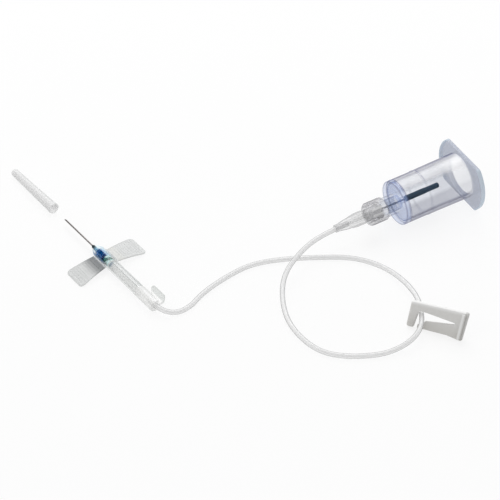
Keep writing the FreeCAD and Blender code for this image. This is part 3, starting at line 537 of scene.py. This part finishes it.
def wing_ridges(tree, sizes):
    """Fine round ridges across both leaves, parallel to the needle."""
    leaves = []
    for side in (1.0, -1.0):
        start = tree.node("ShaderNodeCombineXYZ", None, {1: sizes["First ridge"] * side})
        step = tree.node("ShaderNodeCombineXYZ", None, {1: sizes["Pitch"] * side})
        leaves.append(tree.node("GeometryNodeMeshLine", {"mode": "OFFSET"},
                                {"Count": sizes["Ridges"], "Start Location": start, "Offset": step}))
    both = tree.node("GeometryNodeJoinGeometry", None, {0: leaves[0]})
    tree.links.new(leaves[1].socket, both.socket.node.inputs[0])
    where = tree.node("GeometryNodeInputPosition")
    out = tree.node("ShaderNodeMath", {"operation": "ABSOLUTE"}, {
        0: tree.node("ShaderNodeSeparateXYZ", None, {0: where}, 1)})
    share = out / sizes["Span"]
    front = sizes["Root front"] + (sizes["Tip front"] - sizes["Root front"]) * share
    chord = sizes["Root chord"] + (sizes["Tip chord"] - sizes["Root chord"]) * share
    arch = sizes["Arch"]
    drop = arch - (arch * arch - out * out) ** 0.5
    height = sizes["Leaf top"] - drop
    moved = tree.node("ShaderNodeCombineXYZ", None, {0: front + chord * 0.5, 2: height})
    points = tree.node("GeometryNodeSetPosition", None, {"Geometry": both, "Offset": moved})
    run = tree.node("GeometryNodeCurvePrimitiveLine", None,
                    {"Start": (-0.5, 0.0, 0.0), "End": (0.5, 0.0, 0.0)})
    round_bar = tree.node("GeometryNodeCurvePrimitiveCircle", {"mode": "RADIUS"},
                          {"Resolution": RIDGE_SIDES, "Radius": sizes["Ridge radius"]})
    ridge = tree.node("GeometryNodeCurveToMesh", None,
                      {"Curve": run, "Profile Curve": round_bar, "Fill Caps": True})
    long = tree.node("ShaderNodeCombineXYZ", None,
                     {0: chord - sizes["Rim"] * 2.0, 1: 1.0, 2: 1.0})
    return tree.node("GeometryNodeInstanceOnPoints", None,
                     {"Points": points, "Instance": ridge, "Scale": long})


grown("wing_ridges", {
    "Ridges": 9, "First ridge": 5.6, "Pitch": 1.1, "Ridge radius": 0.1, "Span": WING_SPAN,
    "Root front": WING_FRONT[0], "Tip front": WING_FRONT[1], "Root chord": WING_CHORD[0],
    "Tip chord": WING_CHORD[1], "Arch": WING_ARCH, "Rim": 1.2,
    "Leaf top": WING_CROWN - (WING_THICKNESS - LEAF_THICKNESS) / 2 - RIDGE_SINK},
    wing_ridges, soft_material, NEEDLE_LINE, "shield")


# Cap: a thin frosted tube with a closed end, pulled off the needle before use.
# It lies beside the set, in line with the needle.

cap = Finish("cap_plastic")
cap_cloud = cap.cloud(1.1, detail=3.0)
cap_rim = cap.rim(0.3, 1.0)
cap_solid = cap.solid(
    Base_Color=cap.painted(colour(242, 242, 242), (cap_rim, colour(212, 213, 213))),
    Roughness=cap_cloud * 0.15 + 0.35, IOR=1.45, Normal=cap.bumped(cap_cloud, 0.02))
cap_material = cap.done(cap.clear(cap_solid, cap_rim * 0.2 + 0.6, (0.97, 0.97, 0.97)))
from_solid("needle_cap", "needle_cap_frosted", cap_material, "cap", 0.06)


# Tubing: one length of soft clear vinyl tube, 2 mm thick, from the grip to the luer.
# It lies on the table, runs through the clamp and crosses over itself.

TUBE_POINTS = [
    (-0.06140, -0.03758, 0.00248),
    (-0.06036, -0.04440, 0.00248),
    (-0.0545, -0.0479, 0.00102),
    (-0.0480, -0.0469, 0.00102),
    (-0.0445, -0.0449, 0.00102),
    (-0.0390, -0.0424, 0.00102),
    (-0.0300, -0.0399, 0.00102),
    (-0.0165, -0.0379, 0.00102),
    (-0.0030, -0.0419, 0.00102),
    (0.0095, -0.0479, 0.00102),
    (0.0220, -0.0549, 0.00102),
    (0.0300, -0.0659, 0.00102),
    (0.0320, -0.0794, 0.0022),
    (0.0297, -0.0920, 0.0036),
    (0.0210, -0.1059, 0.0046),
    (0.0075, -0.1069, 0.00102),
    (-0.0070, -0.1014, 0.00102),
    (-0.0170, -0.0929, 0.00102),
    (-0.0200, -0.0784, 0.00102),
    (-0.0175, -0.0654, 0.0016),
    (-0.0095, -0.0519, 0.0038),
    (0.0040, -0.0454, 0.0068),
    (0.01503, -0.0435, 0.008086),
    (0.02582, -0.0435, 0.008575),
]
TUBE_RADIUS = 0.001

line = bpy.data.curves.new("tubing_line", "CURVE")
line.dimensions = "3D"
spline = line.splines.new("NURBS")
spline.points.add(len(TUBE_POINTS) - 1)
for point, place in zip(spline.points, TUBE_POINTS):
    point.co = (*place, 1.0)
spline.order_u = 3
spline.use_endpoint_u = True
spline.resolution_u = 16
line.bevel_depth = TUBE_RADIUS
line.bevel_resolution = 6
line.use_fill_caps = True
tube = bpy.data.objects.new("tubing_soft", line)
bpy.context.scene.collection.objects.link(tube)

vinyl = Finish("tube_plastic")
vinyl_cloud = vinyl.cloud(2.5)
vinyl_rim = vinyl.rim(0.25, 0.95)
vinyl_solid = vinyl.solid(
    Base_Color=vinyl.painted(colour(246, 246, 246), (vinyl_rim, colour(142, 142, 143))),
    Roughness=vinyl_cloud * 0.1 + 0.2, IOR=1.45, Normal=vinyl.bumped(vinyl_cloud, 0.01))
line.materials.append(vinyl.done(vinyl.clear(
    vinyl_solid, vinyl_rim * 0.25 + 0.65, (0.97, 0.97, 0.97))))
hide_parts("tubing")
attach(tube, "set")


# Slide clamp: a stiff plate of off-white plastic with a tapering slot and an end rib.
# It hangs on the tubing and leans on the table. Its colour carries painted highlights along the top and
# the rib, and painted shade low down and at the end.

CLAMP_CORNER = (0.02026, -0.09641, 0.0003155)
CLAMP_ALONG = (0.610145, -0.79229, 0.0)
CLAMP_UPWARD = (0.4544, 0.3500, 0.8192)
TOP_SLOPE = 0.062

hard = Finish("clamp_plastic")
hard_cloud = hard.cloud(1.3, detail=3.0)
hard_along = hard.along(CLAMP_CORNER, CLAMP_ALONG)
hard_up = hard.along(CLAMP_CORNER, CLAMP_UPWARD)
# Painted shade: the lower part of the plate is darker.
clamp_painted_shade_low = hard.fall(hard_up, 1.0, 6.5)
# Painted highlight: a bright band along the top edge.
clamp_painted_highlight_top = hard.rise(hard_up - hard_along * TOP_SLOPE, 8.2, 10.1)
# Painted shade: the end beyond the rib is darker.
clamp_painted_shade_end = hard.rise(hard_along, 21.2, 21.7)
# Painted highlight: a bright line where the end rib starts.
rib_painted_highlight = hard.band(hard_along, 20.85, 0.6)
hard_colour = hard.painted(
    colour(214, 213, 210), (hard_cloud, colour(224, 223, 221)),
    (clamp_painted_shade_low * 0.6, colour(202, 200, 195)), (clamp_painted_highlight_top, colour(244, 244, 243)),
    (clamp_painted_shade_end * 0.6, colour(186, 185, 182)), (rib_painted_highlight * 0.8, colour(242, 242, 241)))
hard_material = hard.done(hard.solid(
    Base_Color=hard_colour, Roughness=hard_cloud * 0.12 + 0.3, IOR=1.49,
    Normal=hard.bumped(hard_cloud, 0.02)))
clamp = from_solid("slide_clamp", "clamp", hard_material, "clamp", 0.3)


# Luer connector: a clear female cone on the tubing's end, with six grip fins and two lugs.
# The tubing is glued in its thin end.

HOLDER_FACE = Vector((0.0482, -0.0435, 0.00959))
HOLDER_TILT = math.radians(2.5970)
HOLDER_LINE = Matrix.Translation(HOLDER_FACE) @ Matrix.Rotation(-HOLDER_TILT, 4, "Y")
TO_MOUTH = tuple(HOLDER_LINE.to_3x3() @ Vector((1, 0, 0)))

luer = Finish("luer_plastic")
luer_cloud = luer.cloud(1.2)
luer_rim = luer.rim(0.3, 0.95)
in_collar = luer.rise(luer.along(HOLDER_FACE, TO_MOUTH), -14.2, -13.6)
luer_solid = luer.solid(
    Base_Color=luer.painted(colour(226, 226, 227), (luer_rim, colour(84, 85, 89))),
    Roughness=luer_cloud * 0.08 + 0.1, IOR=1.5, Normal=luer.bumped(luer_cloud, 0.02))
luer_density = luer_rim * 0.4 + 0.26 + in_collar * 0.34
luer_material = luer.done(luer.clear(luer_solid, luer_density, (0.97, 0.97, 0.97)))
from_solid("luer_connector", "connector", luer_material, "set", 0.08)


# Luer adapter: a clear grey lock collar with grip ribs, and the stem screwed in the holder.
# It is one moulding with the male cone that fills the connector. Its colour carries a painted highlight
# on the rib tops and painted shade on its lower and upper sides.

LIT_SIDE = (-0.0301, 0.7483, 0.6628)

adapter = Finish("adapter_plastic")
adapter_cloud = adapter.cloud(1.0)
adapter_rim = adapter.rim(0.35, 0.95)
adapter_side = adapter.along(HOLDER_FACE, LIT_SIDE)
adapter_away = adapter.away(HOLDER_FACE, TO_MOUTH)
in_neck = adapter.rise(adapter.along(HOLDER_FACE, TO_MOUTH), -5.2, -4.8)
inner_share = adapter.fall(adapter_away, 3.0, 3.5)
# Painted highlight: white on the tops of the grip ribs.
rib_top_painted_highlight = adapter.rise(adapter_away, 4.6, 4.85)
# Painted shade: the collar is darker on its lower and upper sides.
adapter_painted_shade_low = adapter.fall(adapter_side, -3.0, -1.6)
adapter_painted_shade_high = adapter.rise(adapter_side, 2.4, 3.4)
adapter_colour = adapter.painted(
    colour(222, 222, 224), (rib_top_painted_highlight, colour(255, 255, 255)),
    (adapter_painted_shade_low, colour(176, 175, 178)), (adapter_painted_shade_high, colour(172, 171, 175)),
    (adapter_rim * 0.8, colour(132, 132, 137)), (in_neck, colour(190, 208, 244)))
adapter_solid = adapter.solid(
    Base_Color=adapter_colour, Roughness=adapter_cloud * 0.08 + 0.1, IOR=1.5,
    Normal=adapter.bumped(adapter_cloud, 0.02))
adapter_density = adapter_rim * 0.3 + rib_top_painted_highlight * 0.2 + inner_share * 0.35 + 0.22
adapter_density = adapter_density * (1.0 - in_neck * 0.65)
adapter_material = adapter.done(adapter.clear(
    adapter_solid, adapter_density, (0.97, 0.97, 0.975)))
from_solid("luer_adapter", "adapter", adapter_material, "set", 0.08)


# Rear needle and its sleeve: the steel point that pierces a sample tube, under a rubber sock.
# The sleeve is dipped rubber, nearly black, pushed on the adapter's nipple.

from_solid("holder_cannula", "rear_needle", steel_material, "set")

rubber = Finish("sleeve_rubber")
rubber_cloud = rubber.cloud(0.5, detail=4.0)
rubber_material = rubber.done(rubber.solid(
    Base_Color=rubber.painted(colour(28, 48, 64), (rubber_cloud, colour(62, 84, 102))),
    Roughness=rubber_cloud * 0.2 + 0.6, Specular_IOR_Level=0.1,
    Normal=rubber.bumped(rubber_cloud, 0.03)))
from_solid("rubber_sleeve", "sleeve", rubber_material, "set", 0.06)


# Tube holder: a clear blue-tinted cup with a closed front, a mark ring and a finger flange.
# It is screwed on the adapter and lies on the flange's flat side. Its barrel carries a painted
# highlight on its lit side, painted shade below and a painted glow near the mouth.

holder = Finish("holder_plastic")
holder_place = holder.along(HOLDER_FACE, TO_MOUTH)
holder_away = holder.away(HOLDER_FACE, TO_MOUTH)
holder_side = holder.along(HOLDER_FACE, LIT_SIDE)
holder_cloud = holder.cloud(4.0)
inner_step = holder.band(holder_place, 22.2, 0.5) * holder.fall(holder_away, 9.2, 9.5)
holder_rim = holder.rim(0.45, 0.8) * (1.0 - inner_step * 0.7)

neck_share = holder.fall(holder_place, -0.3, -0.05)
front_share = holder.fall(holder_place, 1.7, 1.9) * (1.0 - neck_share)
flange_share = holder.rise(holder_place, 31.6, 32.0)
barrel_share = 1.0 - front_share - flange_share - neck_share

# Painted highlight: a white band on the barrel's lit side.
wall_painted_highlight = holder.rise(holder_side, 1.8, 4.5)
# Painted shade: the barrel's lower side is darker.
wall_painted_shade = holder.fall(holder_side, -4.5, -2.0)
# Painted light: a white glow on the barrel near the mouth.
mouth_painted_glow = holder.rise(holder_place, 20.0, 25.0) * holder.rise(holder_side, -6.0, 0.0)
front_line = holder.band(holder_place, 2.0, 0.4)
mark_line = holder.band(holder_place, 12.3, 0.45)
barrel_colour = holder.painted(
    colour(150, 158, 170), (wall_painted_highlight, colour(252, 252, 253)), (wall_painted_shade, colour(132, 134, 152)),
    (mouth_painted_glow, colour(252, 252, 252)), (holder_rim, colour(86, 88, 122)),
    (front_line + mark_line * 0.6, colour(96, 98, 140)))
barrel_density = wall_painted_highlight * 0.28 + wall_painted_shade * 0.1 + mouth_painted_glow * 0.14 + 0.03
barrel_density = barrel_density + holder_rim * 0.5 + (front_line + mark_line * 0.3) * 0.35

disc_edge = holder.band(holder_away, 9.3, 0.5) * holder.fall(holder_place, 0.3, 0.6)
front_colour = holder.painted(colour(168, 196, 250), (disc_edge, colour(112, 122, 168)))
flange_edge = holder.rise(holder_away, 14.9, 15.6)
flange_colour = holder.painted(colour(140, 152, 178), (flange_edge, colour(190, 207, 222)))

holder_colour = holder.painted(
    barrel_colour, (front_share, front_colour), (flange_share, flange_colour))
holder_density = barrel_share * barrel_density + front_share * (disc_edge * 0.3 + 0.2)
holder_density = holder_density + flange_share * (flange_edge * 0.2 + 0.42)
holder_density = holder_density + neck_share * (holder_rim * 0.25 + 0.06)
holder_solid = holder.solid(
    Base_Color=holder_colour, Roughness=holder_cloud * 0.05 + 0.08, IOR=1.45,
    Specular_IOR_Level=0.35, Normal=holder.bumped(holder_cloud, 0.01))
holder_material = holder.done(holder.clear(holder_solid, holder_density, (0.955, 0.96, 0.974)))
from_solid("tube_holder", "holder", holder_material, "set", 0.12)


# Stage: a white table and backdrop that keep a soft shadow, and plain studio light.
# The camera stands where the photograph was taken, with a long lens.

WHITE = (1.0, 1.0, 1.0, 1.0)
TABLE_GLOW = 0.8
ROOM_LIGHT = 0.62


def seen_share(tree, share):
    """Share for rays that the eye sees, straight or in glossy and clear plastic."""
    camera = tree.node("ShaderNodeLightPath", output="Is Camera Ray")
    glossy = tree.node("ShaderNodeLightPath", output="Is Glossy Ray")
    through = tree.node("ShaderNodeLightPath", output="Is Transmission Ray")
    return tree.node("ShaderNodeClamp", None, {0: camera + glossy + through}) * share


table_finish = Finish("table_white")
table_colour = table_finish.painted(
    (0.93, 0.93, 0.93, 1.0), (table_finish.cloud(30.0), (0.95, 0.95, 0.95, 1.0)))
table_solid = table_finish.solid(Base_Color=table_colour, Roughness=0.9)
table_glow = table_finish.node("ShaderNodeEmission", None, {"Color": WHITE, "Strength": 1.0})
table_material = table_finish.done(table_finish.node("ShaderNodeMixShader", None, {
    0: seen_share(table_finish, TABLE_GLOW), 1: table_solid, 2: table_glow}))
bpy.ops.mesh.primitive_plane_add(size=6.0, location=(0, 0, 0))
table = bpy.context.object
table.name = "table"
table.data.materials.append(table_material)

world = bpy.data.worlds.new("studio")
bpy.context.scene.world = world
world.use_nodes = True
air = Tree(world.node_tree)
air.nodes.clear()
room = air.node("ShaderNodeBackground", None, {"Color": WHITE, "Strength": ROOM_LIGHT})
backdrop = air.node("ShaderNodeBackground", None, {"Color": WHITE, "Strength": 1.0})
sky = air.node("ShaderNodeMixShader", None, {0: seen_share(air, 1.0), 1: room, 2: backdrop})
air.links.new(sky.socket, air.nodes.new("ShaderNodeOutputWorld").inputs["Surface"])


def soft_box(name, place, aim, width, power):
    """A square studio lamp at a place, turned to what it lights."""
    lamp = bpy.data.lights.new(name, "AREA")
    lamp.size = width
    lamp.energy = power
    stand = bpy.data.objects.new(name, lamp)
    stand.location = place
    stand.rotation_euler = (Vector(aim) - Vector(place)).to_track_quat("-Z", "Y").to_euler()
    stand.visible_camera = False
    bpy.context.scene.collection.objects.link(stand)


soft_box("key_lamp", place=(0.55, 0.93, 1.12), aim=(0, -0.03, 0), width=0.9, power=12.0)
soft_box("fill_lamp", place=(-1.2, 0.3, 0.9), aim=(0, -0.03, 0), width=0.8, power=2.0)

TARGET = Vector((-0.0119, -0.0298, 0.0))
LOOK_HEADING = math.radians(60.635)
ELEVATION = math.radians(43.86)
DISTANCE = 0.7287
look = Vector((math.cos(LOOK_HEADING) * math.cos(ELEVATION),
               math.sin(LOOK_HEADING) * math.cos(ELEVATION), -math.sin(ELEVATION)))
camera_data = bpy.data.cameras.new("camera")
camera_data.lens = 129.6
camera_data.sensor_width = 36.0
camera = bpy.data.objects.new("camera", camera_data)
camera.location = TARGET - look * DISTANCE
camera.rotation_euler = look.to_track_quat("-Z", "Y").to_euler()
bpy.context.scene.collection.objects.link(camera)
bpy.context.scene.camera = camera
bpy.context.scene.view_settings.view_transform = "Standard"
